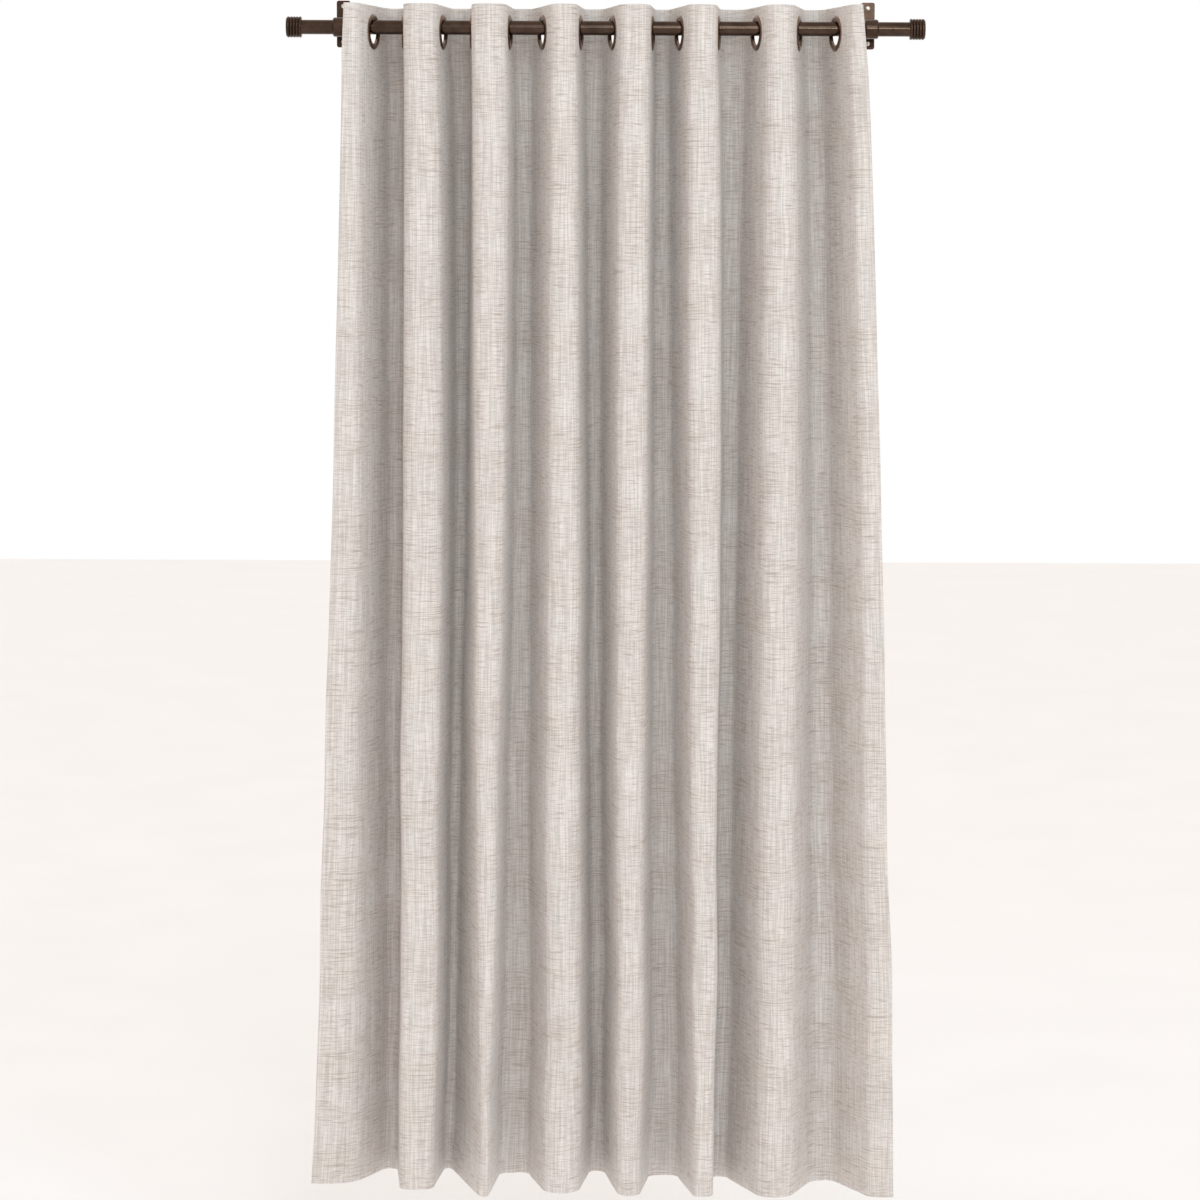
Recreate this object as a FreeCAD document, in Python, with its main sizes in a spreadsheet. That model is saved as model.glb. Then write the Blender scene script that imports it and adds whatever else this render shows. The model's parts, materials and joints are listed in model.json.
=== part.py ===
import FreeCAD, Part
import math
import os

import Sketcher

# An eyelet curtain on a wall-mounted rod, in millimetres.
# Origin: the middle of the four wall screws, on the wall. +X runs along the rod to the right,
# +Z is up, the wall is the plane y = 0 and the room is on the side of -Y.

Vector = FreeCAD.Vector
Rotation = FreeCAD.Rotation

SIZES = [
    ("rod_diameter", 25.4, "outside of the rod tube"),
    ("rod_wall", 1.2, "wall of the rod tube"),
    ("rod_length", 1076, "length of the rod tube"),
    ("rod_stand_off", 88, "wall to the rod's axis"),
    ("rod_drop", 10.8, "middle of the wall plate down to the rod's axis"),
    ("bracket_half_span", 470.5, "middle of the rod to a bracket"),
    ("plate_width", 24.5, "wall plate, across"),
    ("plate_height", 83, "wall plate, up"),
    ("plate_thickness", 3, "wall plate"),
    ("plate_corner", 4, "radius of the wall plate's corners"),
    ("plate_edge", 0.6, "rounding of the wall plate's front edge"),
    ("screw_half_pitch", 31.5, "middle of the wall plate to a screw"),
    ("screw_hole", 4.8, "screw hole in the wall plate"),
    ("screw_neck", 4.5, "smooth neck of a wall screw, in the plate's hole"),
    ("screw_shank", 4, "threaded shank of a wall screw, behind the plate"),
    ("screw_length", 35, "shank of a wall screw, from under its head"),
    ("screw_point", 5, "taper at the tip of a wall screw"),
    ("screw_head", 7.8, "head of a wall screw"),
    ("screw_head_rim", 0.9, "edge height of a screw's head"),
    ("screw_head_rise", 1.5, "dome of a screw's head above its edge"),
    ("recess_arm", 4.4, "cross recess, tip to tip"),
    ("recess_slot", 0.9, "cross recess, width of a slot"),
    ("recess_depth", 1.4, "cross recess, below the dome's top"),
    ("arm_diameter", 12, "post from the wall plate to the collar"),
    ("arm_foot", 19, "round foot of the post"),
    ("arm_foot_depth", 4, "thickness of the post's foot"),
    ("collar_outer", 34, "outside of the collar round the rod"),
    ("collar_bore", 25.8, "bore of the collar"),
    ("collar_length", 24.5, "length of the collar along the rod"),
    ("collar_edge", 3.6, "rounding of the collar's outer edges"),
    ("grub_diameter", 5, "grub screw under the collar"),
    ("grub_length", 4.2, "length of the grub screw"),
    ("grub_socket", 1.35, "hexagon socket, middle to corner"),
    ("finial_outer", 37, "end cap over its ribs"),
    ("finial_rib_pitch", 5.2, "width of one rib"),
    ("finial_rib_rise", 1.7, "height of a rib above the groove beside it"),
    ("finial_rim", 1.2, "rounding of the end cap's outer rim"),
    ("stud_diameter", 5.9, "threaded stud that holds the end cap"),
    ("stud_in_finial", 12, "stud's depth in the end cap"),
    ("stud_in_plug", 15, "stud's depth in the rod's plug"),
    ("thread_bore", 6, "bore for the stud"),
    ("plug_length", 20, "plug inside the end of the rod"),
    ("eyelet_outer", 62, "outside of an eyelet"),
    ("eyelet_bore", 42, "bore of an eyelet"),
    ("eyelet_barrel_wall", 1.4, "wall of the eyelet's barrel"),
    ("eyelet_rim", 0.8, "edge height of an eyelet's flange"),
    ("eyelet_front_dome", 2.2, "dome of the front flange above its edge"),
    ("eyelet_back_dome", 1.5, "dome of the back flange above its edge"),
    ("cloth_thickness", 2, "lined cloth"),
    ("running_gap", 0.3, "air between pieces that move apart"),
    ("fit_gap", 0.05, "air all round a piece fitted in a hole"),
    ("panel_drop", 2134, "top edge of the panel to its hem"),
    ("header_rise", 45.5, "middle of an eyelet to the panel's top edge"),
    ("header_depth", 90, "stiffened top of the panel"),
    ("eyelet_flat_pitch", 179.2, "eyelet to eyelet along the cloth"),
    ("edge_flat", 105, "outermost eyelet to the panel's side edge along the cloth"),
    ("edge_reach_top", 49.5, "the same along X, at the top"),
    ("edge_reach_hem_left", 90, "the same along X, at the left end of the hem"),
    ("edge_reach_hem_right", 70, "the same along X, at the right end of the hem"),
    ("edge_crest_share", 0.66, "share of that reach from the eyelet to the fold's crest"),
]

# Each eyelet: its place along the rod, the lean of the cloth through it in degrees, how far the
# cloth below it has moved along X at the hem, and its lean there. The folds hang unevenly.
EYELETS = [
    (-412, 16, -24, 25),
    (-357, 3, -14, 5),
    (-289, 10, -12, 5),
    (-236.5, 2, -10, 21),
    (-171, 5, -27, 7),
    (-111, 15, -10, 15),
    (-45.5, 6, 5, 9),
    (13, 13, 9, 10),
    (82, 5, -1, 8),
    (132, 13, 24, 11),
    (199, 5, 4, 1),
    (268, 15, -3, 22),
    (341.5, 11, 22, 20),
    (408, 16, 55, 25),
]
NUMBERS = range(1, len(EYELETS) + 1)
FINIAL_RIBS = 5
START, END, CENTRE = 1, 2, 3  # the numbers of a sketch curve's own points
SIDES = {"left": -1, "right": 1}

doc = FreeCAD.newDocument("curtain")
sheet = doc.addObject("Spreadsheet::Sheet", "sizes")
sub_parts = []


def fill_sheet():
    rows = list(SIZES)
    for number, (place, lean_top, shift, lean_hem) in enumerate(EYELETS, start=1):
        rows.append((f"eyelet_{number:02d}_place", place, "place along the rod"))
        rows.append((f"eyelet_{number:02d}_lean_top", lean_top, "lean of the cloth, degrees"))
        rows.append((f"eyelet_{number:02d}_shift", shift, "move of the cloth at the hem"))
        rows.append((f"eyelet_{number:02d}_lean_hem", lean_hem, "lean at the hem, degrees"))
    for row, (alias, size, meaning) in enumerate(rows, start=1):
        sheet.set(f"A{row}", meaning)
        sheet.set(f"B{row}", str(size))
        sheet.setAlias(f"B{row}", alias)
    doc.recompute()


def value(expression):
    return float(sheet.evalExpression(expression))


def bind(thing, **expressions):
    for name, expression in expressions.items():
        thing.setExpression(name, expression)
    return thing


def put(thing, x="0", y="0", z="0", rotation=None):
    """Place a sub-part: its position follows the sheet, its rotation is fixed."""
    if rotation is not None:
        thing.Placement = FreeCAD.Placement(Vector(0, 0, 0), rotation)
    thing.setExpression("Placement.Base.x", x)
    thing.setExpression("Placement.Base.y", y)
    thing.setExpression("Placement.Base.z", z)
    return thing


def sub_part(thing, label):
    thing.Label = label
    sub_parts.append(thing)
    return thing


def origin_plane(body, role):
    for feature in body.Origin.OriginFeatures:
        if feature.Role == role:
            return feature
    raise ValueError(role)


def outline_sketch(body, name, plane, outline):
    """A closed outline of lines and arcs, anticlockwise, each point held by sheet expressions.

    A point is (across, up) or (across, up, radius, bulge): with a radius, the stretch from it to
    the next point is an arc, and bulge is how far the arc's middle stands out of the outline.
    """
    sketch = body.newObject("Sketcher::SketchObject", name)
    sketch.AttachmentSupport = [(origin_plane(body, plane), "")]
    sketch.MapMode = "FlatFace"
    for index, point in enumerate(outline):
        following = outline[(index + 1) % len(outline)]
        start = Vector(value(point[0]), value(point[1]), 0)
        end = Vector(value(following[0]), value(following[1]), 0)
        if len(point) == 2:
            sketch.addGeometry(Part.LineSegment(start, end), False)
        else:
            bulge = value(point[3])
            along = (end - start).normalize()
            middle = (start + end) * 0.5 + Vector(along.y, -along.x, 0) * bulge
            sketch.addGeometry(Part.Arc(start, middle, end), False)
            hold(sketch, Sketcher.Constraint("Radius", index, value(point[2])), point[2])
        hold_point(sketch, index, START, point)
        hold_point(sketch, index, END, following)
    return sketch


def arc(chord, bulge):
    """Radius and bulge of an arc over a chord of that length."""
    return f"(({chord}) ^ 2 / 4 + {bulge} ^ 2) / (2 * {bulge})", bulge


def corner_arc(radius):
    """Radius and bulge of a quarter circle."""
    return radius, f"{radius} * (1 - sqrt(0.5))"


def hold(sketch, constraint, expression):
    number = sketch.addConstraint(constraint)
    sketch.setExpression(f"Constraints[{number}]", expression)


def hold_point(sketch, geometry, vertex, point):
    for kind, expression in (("DistanceX", point[0]), ("DistanceY", point[1])):
        hold(sketch, Sketcher.Constraint(kind, -1, 1, geometry, vertex, value(expression)), expression)


def turned_body(name, outline):
    """A body of revolution about its own Z axis, from an outline in its XZ plane."""
    body = doc.addObject("PartDesign::Body", name)
    sketch = outline_sketch(body, name + "_outline", "XZ_Plane", outline)
    turn = body.newObject("PartDesign::Revolution", name + "_turn")
    turn.Profile = sketch
    turn.ReferenceAxis = (sketch, ["V_Axis"])
    turn.Angle = 360
    body.Tip = turn
    return body


def round_bar(name, radius, length):
    return bind(doc.addObject("Part::Cylinder", name), Radius=radius, Height=length)


def cut(name, base, tool):
    result = doc.addObject("Part::Cut", name)
    result.Base = base
    result.Tool = tool
    return result


def along_x(side):
    """Turn a piece's own Z axis to point along the rod, away from its middle on that side."""
    return Rotation(Vector(0, 0, 1), Vector(side, 0, 0))


TO_WALL = Rotation(Vector(0, 0, 1), Vector(0, 1, 0))
TO_ROOM = Rotation(Vector(0, 0, 1), Vector(0, -1, 0))
ROD_Y = "-sizes.rod_stand_off"
ROD_Z = "-sizes.rod_drop"
EYELET_Z = "-sizes.rod_drop - (sizes.eyelet_bore - sizes.rod_diameter) / 2 + sizes.running_gap"


def make_rod():
    outside = round_bar("rod_outside", "sizes.rod_diameter / 2", "sizes.rod_length")
    inside = round_bar("rod_inside", "sizes.rod_diameter / 2 - sizes.rod_wall", "sizes.rod_length")
    tube = sub_part(cut("rod", outside, inside), "rod_tube")
    put(tube, "-sizes.rod_length / 2", ROD_Y, ROD_Z, along_x(1))


def make_rod_end(side_name, side):
    """The plug in the end of the tube, the stud in it, and the ribbed end cap on the stud."""
    tube_end = f"{side} * sizes.rod_length / 2"
    plug_radius = "sizes.rod_diameter / 2 - sizes.rod_wall"
    thread_radius = "sizes.thread_bore / 2"
    plug = turned_body("plug_" + side_name, [
        (thread_radius, "-sizes.plug_length"),
        (plug_radius, "-sizes.plug_length"),
        (plug_radius, "0"),
        (thread_radius, "0"),
    ])
    put(sub_part(plug, "rod_plug_" + side_name), tube_end, ROD_Y, ROD_Z, along_x(side))

    stud_length = "sizes.stud_in_plug + sizes.stud_in_finial"
    stud = round_bar("stud_" + side_name, "sizes.stud_diameter / 2", stud_length)
    stud_start = f"{side} * (sizes.rod_length / 2 - sizes.stud_in_plug)"
    put(sub_part(stud, "finial_stud_" + side_name), stud_start, ROD_Y, ROD_Z, along_x(side))

    finial = turned_body("cap_" + side_name, finial_outline())
    put(sub_part(finial, "finial_" + side_name), tube_end, ROD_Y, ROD_Z, along_x(side))


def finial_outline():
    """Half the end cap's section: a bore for the stud, five rounded ribs and a soft outer rim."""
    thread_radius = "sizes.thread_bore / 2"
    groove_radius = "(sizes.finial_outer / 2 - sizes.finial_rib_rise)"
    pitch = "sizes.finial_rib_pitch"
    rim = "sizes.finial_rim"
    face_z = f"{FINIAL_RIBS} * {pitch} + {rim}"
    bore_end = "sizes.stud_in_finial + 1"
    outline = [(thread_radius, "0")]
    for rib in range(FINIAL_RIBS):
        outline.append((groove_radius, f"{rib} * {pitch}", *arc(pitch, "sizes.finial_rib_rise")))
    outline.append((groove_radius, f"{FINIAL_RIBS} * {pitch}", *corner_arc(rim)))
    outline.append((f"{groove_radius} - {rim}", face_z))
    outline.append(("0", face_z))
    outline.append(("0", bore_end))
    outline.append((thread_radius, bore_end))
    return outline


def make_wall_plate(side_name, side):
    body = doc.addObject("PartDesign::Body", "plate_" + side_name)
    wide = "sizes.plate_width / 2"
    tall = "sizes.plate_height / 2"
    corner = "sizes.plate_corner"
    outline = []
    for x_sign, z_sign, z_first in ((1, -1, False), (1, 1, True), (-1, 1, False), (-1, -1, True)):
        beside = (f"{x_sign} * ({wide} - {corner})", f"{z_sign} * {tall}")
        above = (f"{x_sign} * {wide}", f"{z_sign} * ({tall} - {corner})")
        first, second = (above, beside) if z_first else (beside, above)
        outline.append((*first, *corner_arc(corner)))
        outline.append(second)
    sketch = outline_sketch(body, f"plate_{side_name}_outline", "XZ_Plane", outline)
    pad = body.newObject("PartDesign::Pad", f"plate_{side_name}_pad")
    pad.Profile = sketch
    pad.setExpression("Length", "sizes.plate_thickness")
    doc.recompute()
    front = [f"Edge{number}" for number, edge in enumerate(pad.Shape.Edges, start=1)
             if edge.BoundBox.YMax < -value("sizes.plate_thickness") / 2]
    rounding = body.newObject("PartDesign::Fillet", f"plate_{side_name}_rounding")
    rounding.Base = (pad, front)
    rounding.setExpression("Radius", "sizes.plate_edge")
    body.Tip = rounding
    doc.recompute()
    holes = body.newObject("Sketcher::SketchObject", f"plate_{side_name}_holes")
    holes.AttachmentSupport = [(origin_plane(body, "XZ_Plane"), "")]
    holes.MapMode = "FlatFace"
    for index, z_sign in enumerate((-1, 1)):
        place = f"{z_sign} * sizes.screw_half_pitch"
        radius = "sizes.screw_hole / 2"
        centre = Vector(0, value(place), 0)
        holes.addGeometry(Part.Circle(centre, Vector(0, 0, 1), value(radius)), False)
        hold_point(holes, index, CENTRE, ("0", place))
        hold(holes, Sketcher.Constraint("Radius", index, value(radius)), radius)
    pocket = body.newObject("PartDesign::Pocket", f"plate_{side_name}_pocket")
    pocket.Profile = holes
    pocket.Type = "ThroughAll"
    pocket.Midplane = True
    body.Tip = pocket
    put(sub_part(body, "wall_plate_" + side_name), f"{side} * sizes.bracket_half_span")


def make_arm(side_name, side):
    """The post from the plate to the collar, coped to sit against the collar's side."""
    foot = round_bar("arm_foot_" + side_name, "sizes.arm_foot / 2", "sizes.arm_foot_depth")
    reach = "sizes.rod_stand_off - sizes.plate_thickness"
    post = round_bar("arm_post_" + side_name, "sizes.arm_diameter / 2", reach)
    whole = doc.addObject("Part::Fuse", "arm_whole_" + side_name)
    whole.Base = foot
    whole.Tool = post
    cope = round_bar("arm_cope_" + side_name, "sizes.collar_outer / 2", "sizes.collar_length")
    cope.Placement = FreeCAD.Placement(Vector(0, 0, 0), along_x(1))
    bind(cope, **{".Placement.Base.x": "-sizes.collar_length / 2", ".Placement.Base.z": reach})
    arm = sub_part(cut("arm_" + side_name, whole, cope), "bracket_arm_" + side_name)
    put(arm, f"{side} * sizes.bracket_half_span", "-sizes.plate_thickness", ROD_Z, TO_ROOM)


def make_collar(side_name, side):
    """The sleeve round the rod at the end of the post, with a hole below for its screw."""
    ring = turned_body("ring_" + side_name, collar_outline())
    grub_radius = "sizes.grub_diameter / 2 + sizes.fit_gap"
    grub_hole = round_bar("grub_hole_" + side_name, grub_radius, "sizes.collar_outer / 2")
    grub_hole.Placement = FreeCAD.Placement(Vector(0, 0, 0), along_x(1))
    collar = sub_part(cut("collar_" + side_name, ring, grub_hole), "rod_collar_" + side_name)
    put(collar, f"{side} * sizes.bracket_half_span", ROD_Y, ROD_Z, along_x(1))


def collar_outline():
    inner = "sizes.collar_bore / 2"
    outer = "sizes.collar_outer / 2"
    half = "sizes.collar_length / 2"
    edge = "sizes.collar_edge"
    return [
        (inner, f"-{half}"),
        (f"{outer} - {edge}", f"-{half}", *corner_arc(edge)),
        (outer, f"-{half} + {edge}"),
        (outer, f"{half} - {edge}", *corner_arc(edge)),
        (f"{outer} - {edge}", half),
        (inner, half),
    ]


def make_grub_screw(side_name, side):
    """The screw that holds the rod still in the collar, from below, with a hexagon socket."""
    shank = round_bar("grub_shank_" + side_name, "sizes.grub_diameter / 2", "sizes.grub_length")
    socket = doc.addObject("Part::Prism", "grub_socket_" + side_name)
    socket.Polygon = 6
    bind(socket, Circumradius="sizes.grub_socket", Height="sizes.grub_length / 2")
    bind(socket, **{".Placement.Base.z": "sizes.grub_length / 2"})
    grub = sub_part(cut("grub_" + side_name, shank, socket), "collar_screw_" + side_name)
    below_rod = "-sizes.rod_drop - sizes.rod_diameter / 2"
    down = Rotation(Vector(0, 0, 1), Vector(0, 0, -1))
    put(grub, f"{side} * sizes.bracket_half_span", ROD_Y, below_rod, down)


def make_wall_screws():
    """Four dome-headed screws through the plates, each a solid of its own in one group."""
    screws = []
    for side_name, side in SIDES.items():
        for level_name, level in (("low", -1), ("high", 1)):
            screw = wall_screw(f"{side_name}_{level_name}")
            x = f"{side} * sizes.bracket_half_span"
            z = f"{level} * sizes.screw_half_pitch"
            screws.append(put(screw, x, "-sizes.plate_thickness", z, TO_WALL))
    group = doc.addObject("Part::Compound", "screw_group")
    group.Links = screws
    sub_part(group, "wall_screws")


def wall_screw(name):
    """A screw with its head's seat at z = 0, its shank towards +Z and a cross recess below."""
    head = "sizes.screw_head / 2"
    neck = "sizes.screw_neck / 2"
    shank = "sizes.screw_shank / 2"
    crown = "sizes.recess_slot / 2"
    rise = "sizes.screw_head_rise"
    rim = "sizes.screw_head_rim"
    slope = f"sqrt(({head} - {crown}) ^ 2 + {rise} ^ 2)"
    body = turned_body("screw_" + name, [
        ("0", f"-{rim} - {rise}"),
        (crown, f"-{rim} - {rise}", *arc(slope, f"{rise} / 4")),
        (head, f"-{rim}"),
        (head, "0"),
        (neck, "0"),
        (neck, "sizes.plate_thickness"),
        (shank, "sizes.plate_thickness"),
        (shank, "sizes.screw_length - sizes.screw_point"),
        ("0", "sizes.screw_length"),
    ])
    slots = []
    for slot_name, long_side, short_side in (("a", "Length", "Width"), ("b", "Width", "Length")):
        slot = doc.addObject("Part::Box", f"slot_{slot_name}_{name}")
        bind(slot, **{long_side: "sizes.recess_arm", short_side: "sizes.recess_slot"})
        bind(slot, Height="sizes.recess_depth * 2")
        corner_x = f"-sizes.{'recess_arm' if long_side == 'Length' else 'recess_slot'} / 2"
        corner_y = f"-sizes.{'recess_slot' if long_side == 'Length' else 'recess_arm'} / 2"
        top = f"-{rim} - {rise} - sizes.recess_depth"
        put(slot, corner_x, corner_y, top)
        slots.append(slot)
    recess = doc.addObject("Part::Fuse", "recess_" + name)
    recess.Base, recess.Tool = slots
    return cut("cut_screw_" + name, body, recess)


def eyelet_value(number, what):
    return value(f"sizes.eyelet_{number:02d}_{what}")


def lean(number, at_hem):
    return math.radians(eyelet_value(number, "lean_hem" if at_hem else "lean_top"))


def eyelet_axis(number):
    """The way the right side of the cloth faces where it passes through an eyelet."""
    angle = lean(number, False)
    return Vector(leans_back(number) * math.cos(angle), -math.sin(angle), 0)


def leans_back(number):
    """+1 where the cloth goes from a front fold on the left to a back fold, -1 the other way."""
    return 1 if number % 2 else -1


def make_eyelet(number):
    """The two halves of an eyelet: a flanged barrel through the cloth, and the flange behind."""
    bore = "sizes.eyelet_bore / 2"
    outer = "sizes.eyelet_outer / 2"
    barrel = f"({bore} + sizes.eyelet_barrel_wall)"
    seat = "sizes.cloth_thickness / 2"
    front_top = f"{seat} + sizes.eyelet_rim"
    back_top = f"-{seat} - sizes.eyelet_rim"
    front = turned_body(f"front_{number:02d}", [
        (bore, back_top),
        (barrel, back_top),
        (barrel, seat),
        (outer, seat),
        (outer, front_top, *arc(f"{outer} - {bore}", "sizes.eyelet_front_dome")),
        (bore, front_top),
    ])
    opening = f"({barrel} + sizes.fit_gap)"
    back = turned_body(f"back_{number:02d}", [
        (opening, f"-{seat}"),
        (opening, back_top, *arc(f"{outer} - {opening}", "sizes.eyelet_back_dome")),
        (outer, back_top),
        (outer, f"-{seat}"),
    ])
    turn = Rotation(Vector(0, 0, 1), eyelet_axis(number))
    for piece, label in ((front, "eyelet_front"), (back, "eyelet_back")):
        sub_part(piece, f"{label}_{number:02d}")
        put(piece, f"sizes.eyelet_{number:02d}_place", ROD_Y, EYELET_Z, turn)


def crest_shape(flat_length, span, leans):
    """How far a fold's crest stands off the rod, and the radius of its arc. Each half is a straight
    leg that leans towards the crest and then the arc to the crest's top. Together the halves span
    that much of the rod and are as long as the cloth was cut, which gives two linear equations."""
    span_per_radius = sum((1 - math.sin(angle)) / math.cos(angle) for angle in leans)
    span_per_depth = sum(math.tan(angle) for angle in leans)
    length_per_depth = sum(1 / math.cos(angle) for angle in leans)
    length_per_radius = sum(math.pi / 2 - angle for angle in leans) - span_per_radius
    both = length_per_depth * span_per_radius - span_per_depth * length_per_radius
    depth = (flat_length * span_per_radius - span * length_per_radius) / both
    return depth, (span - span_per_depth * depth) / span_per_radius


def half_span(depth, radius, angle):
    """Along the rod from an eyelet to the top of a crest beside it."""
    return (radius * (1 - math.sin(angle)) + depth * math.sin(angle)) / math.cos(angle)


def leg_places(at_hem):
    """Where the cloth crosses the rod's plane, at the top or at the hem, from left to right."""
    places = []
    for number in NUMBERS:
        place = eyelet_value(number, "place")
        shift = eyelet_value(number, "shift")
        places.append(place + shift if at_hem else place)
    return places


def crests(at_hem):
    """The crest left of the first eyelet, those between eyelets and the one right of the last:
    (place along the rod, depth, radius, flat length beyond it to the panel's side edge or 0)."""
    legs = leg_places(at_hem)
    leans = [lean(number, at_hem) for number in NUMBERS]
    found = [edge_crest("left", legs[0], leans[0], at_hem)]
    for index in range(len(legs) - 1):
        pair = leans[index:index + 2]
        gap = legs[index + 1] - legs[index]
        depth, radius = crest_shape(value("sizes.eyelet_flat_pitch"), gap, pair)
        found.append((legs[index] + half_span(depth, radius, pair[0]), depth, radius, 0))
    found.append(edge_crest("right", legs[-1], leans[-1], at_hem))
    return found


def edge_crest(side_name, leg, angle, at_hem):
    """The crest between an outermost eyelet and the panel's side edge."""
    edge_reach = value(f"sizes.edge_reach_hem_{side_name}" if at_hem else "sizes.edge_reach_top")
    reach = edge_reach * value("sizes.edge_crest_share")
    beyond = edge_reach - reach
    depth, radius = crest_shape(value("sizes.edge_flat") - beyond, reach, [angle])
    return leg + SIDES[side_name] * reach, depth, radius, beyond


def fold_points(number, at_hem, crest, hand, offset, height):
    """Points on one skin of a fold, from where the leg meets the arc to the fold's end.
    hand is -1 for the crest left of the eyelet and +1 for the one on its right."""
    crest_x, depth, radius, beyond = crest
    angle = lean(number, at_hem)
    way = hand * leans_back(number)
    crest_y = -value("sizes.rod_stand_off") + way * depth
    centre = Vector(crest_x, crest_y - way * radius, height)
    skin = radius + way * offset
    short = 0 if beyond else value("sizes.running_gap") / radius
    from_leg = Vector(-hand * math.cos(angle), way * math.sin(angle), 0)
    at_crest = Vector(-hand * math.sin(short), way * math.cos(short), 0)
    half_way = (from_leg + at_crest).normalize()
    points = [centre + unit * skin for unit in (from_leg, half_way, at_crest)]
    if beyond:
        points.append(points[-1] + Vector(hand * beyond, 0, 0))
    return points


def fold_wire(number, at_hem, height):
    """The closed outline of one fold at one height: out along one skin and back on the other."""
    both = crests(at_hem)[number - 1:number + 1]
    half = value("sizes.cloth_thickness") / 2
    edges = []
    ends = []
    for offset in (half, -half):
        left = fold_points(number, at_hem, both[0], -1, offset, height)
        right = fold_points(number, at_hem, both[1], 1, offset, height)
        if len(left) > 3:
            edges.append(Part.makeLine(left[3], left[2]))
        edges.append(Part.Arc(left[2], left[1], left[0]).toShape())
        edges.append(Part.makeLine(left[0], right[0]))
        edges.append(Part.Arc(right[0], right[1], right[2]).toShape())
        if len(right) > 3:
            edges.append(Part.makeLine(right[2], right[3]))
        ends.append((left[-1], right[-1]))
    edges.append(Part.makeLine(ends[0][0], ends[1][0]))
    edges.append(Part.makeLine(ends[0][1], ends[1][1]))
    return Part.Wire(Part.__sortEdges__(edges))


def make_curtain_fold(number):
    """The cloth that one eyelet carries, from the crest on its left to the crest on its right.
    The stiffened header hangs straight, and below it the fold drifts to its place at the hem."""
    eyelet_z = value(EYELET_Z)
    top = eyelet_z + value("sizes.header_rise")
    header_foot = top - value("sizes.header_depth")
    hem = top - value("sizes.panel_drop")
    wires = [
        fold_wire(number, False, top),
        fold_wire(number, False, header_foot),
        fold_wire(number, True, hem),
    ]
    cloth = Part.makeLoft(wires, True, True)
    axis = eyelet_axis(number)
    radius = value("sizes.eyelet_bore / 2 + sizes.eyelet_barrel_wall + sizes.fit_gap")
    length = 4 * value("sizes.cloth_thickness")
    centre = Vector(eyelet_value(number, "place"), value(ROD_Y), eyelet_z)
    hole = Part.makeCylinder(radius, length, centre - axis * (length / 2), axis)
    fold = doc.addObject("Part::Feature", f"fold_{number:02d}")
    fold.Shape = cloth.cut(hole)
    sub_part(fold, f"curtain_fold_{number:02d}")


def check_document():
    for thing in doc.Objects:
        if {"Invalid", "Error"} & set(thing.State):
            raise RuntimeError(f"{thing.Name} failed: {thing.getStatusString()}")
    for thing in sub_parts:
        if thing.Shape.isNull() or not thing.Shape.isValid() or not thing.Shape.Solids:
            raise RuntimeError(f"{thing.Label} has no valid solid")


def export_parts():
    os.makedirs("parts", exist_ok=True)
    for thing in sub_parts:
        thing.Shape.exportStep(f"parts/{thing.Label}.step")
        print(thing.Label, len(thing.Shape.Solids), round(thing.Shape.Volume))


fill_sheet()
make_rod()
for side_name, side in SIDES.items():
    make_rod_end(side_name, side)
    make_wall_plate(side_name, side)
    make_arm(side_name, side)
    make_collar(side_name, side)
    make_grub_screw(side_name, side)
make_wall_screws()
for number in NUMBERS:
    make_eyelet(number)
    make_curtain_fold(number)
doc.recompute()
check_document()
export_parts()
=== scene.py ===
import json
import math

import bpy
import numpy as np
from mathutils import Matrix, Vector, noise


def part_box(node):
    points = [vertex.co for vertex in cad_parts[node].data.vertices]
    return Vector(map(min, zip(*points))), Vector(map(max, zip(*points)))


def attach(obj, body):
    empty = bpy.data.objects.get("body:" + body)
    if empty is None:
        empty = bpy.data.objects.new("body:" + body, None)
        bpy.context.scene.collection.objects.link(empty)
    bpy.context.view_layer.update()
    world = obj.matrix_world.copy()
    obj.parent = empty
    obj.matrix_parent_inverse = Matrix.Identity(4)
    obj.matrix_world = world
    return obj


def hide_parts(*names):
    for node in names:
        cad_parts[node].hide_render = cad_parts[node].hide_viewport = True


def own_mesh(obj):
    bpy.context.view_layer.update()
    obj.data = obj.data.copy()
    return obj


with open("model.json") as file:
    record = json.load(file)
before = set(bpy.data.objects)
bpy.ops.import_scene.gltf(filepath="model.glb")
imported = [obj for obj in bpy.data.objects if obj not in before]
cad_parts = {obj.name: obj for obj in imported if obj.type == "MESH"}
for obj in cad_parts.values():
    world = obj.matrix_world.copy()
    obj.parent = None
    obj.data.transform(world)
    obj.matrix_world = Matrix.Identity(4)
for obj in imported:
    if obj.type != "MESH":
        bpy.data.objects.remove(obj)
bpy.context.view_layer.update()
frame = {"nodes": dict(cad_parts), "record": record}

# An eyelet curtain on its rod, in metres, in the CAD model's frame: +X runs along the rod to the
# right, +Z is up, the wall is y = 0 and the room is on the side of -Y.
#
# The panel is one continuous cloth. A place on it is (along, fall): along from the left side edge
# and fall from the top edge, both measured on the flat cloth. An offset is how far a layer lies
# in front of the cloth's middle, and a minus offset is on the wall's side.

ANCHOR_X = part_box("rod_collar_left")[1].x  # the drawn panel gathers against this collar
ROD_LOW, ROD_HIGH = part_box("rod_tube")
ROD_Y = (ROD_LOW.y + ROD_HIGH.y) / 2
RING_LOW, RING_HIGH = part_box("eyelet_front_01")
RING_Z = (RING_LOW.z + RING_HIGH.z) / 2
FOLD_LOW, FOLD_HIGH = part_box("curtain_fold_01")
TOP_Z = FOLD_HIGH.z
DROP = FOLD_HIGH.z - FOLD_LOW.z
FOLD_NODES = sorted(name for name in frame["nodes"] if name.startswith("curtain_fold_"))
KEEP = 0.4  # how much of the panel's width is left when it is drawn open

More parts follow.
